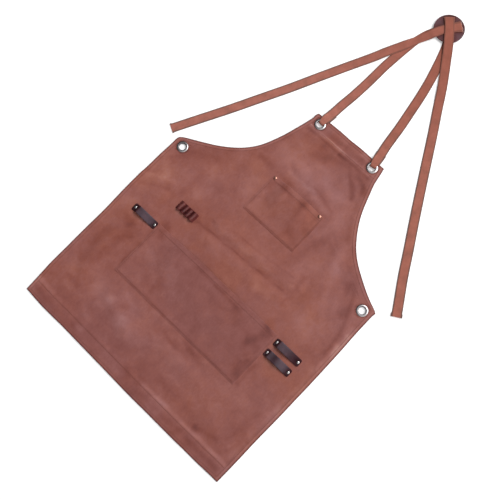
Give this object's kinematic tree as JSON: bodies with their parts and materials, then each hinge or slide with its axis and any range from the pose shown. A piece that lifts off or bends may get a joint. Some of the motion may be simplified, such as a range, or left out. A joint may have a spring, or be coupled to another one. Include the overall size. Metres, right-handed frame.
{
  "type": "waxed canvas work apron",
  "caption": "Cross-back work apron of waxed canvas, laid flat, with patch pockets, leather tool and pen loops, metal grommets, and webbing straps that turn through a leather disc.",
  "frame": {"origin": "on the underside of the canvas, on the apron's centreline, at the height of the waist grommets", "axes": "+Z out of the apron's front, +Y towards the bib and straps, +X to the right as seen from the front"},
  "size_m": [0.7918, 1.321, 0.0129],
  "materials": {
    "waxed_canvas": "waxed, mottled, low sheen",
    "cotton_webbing": "matte woven",
    "dark_leather": "semi-gloss, oiled",
    "nickel_plate": "polished"
  },
  "bodies": {
    "root": {"canvas_panel": "waxed_canvas", "chest_pocket": "waxed_canvas", "waist_pocket": "waxed_canvas", "tool_loop_left": "dark_leather", "tool_loop_right_upper": "dark_leather", "tool_loop_right_lower": "dark_leather", "pen_loop_strip": "dark_leather", "strap_disc": "dark_leather", "strap_left": "cotton_webbing", "strap_right": "cotton_webbing", "grommet_waist_left": "nickel_plate", "grommet_waist_right": "nickel_plate", "grommet_bib_left": "nickel_plate", "grommet_bib_right": "nickel_plate", "rivet_chest_left": "nickel_plate", "rivet_chest_right": "nickel_plate", "rivet_left_a": "nickel_plate", "rivet_left_b": "nickel_plate", "rivet_right_upper_a": "nickel_plate", "rivet_right_upper_b": "nickel_plate", "rivet_right_lower_a": "nickel_plate", "rivet_right_lower_b": "nickel_plate"}
  },
  "joints": []
}
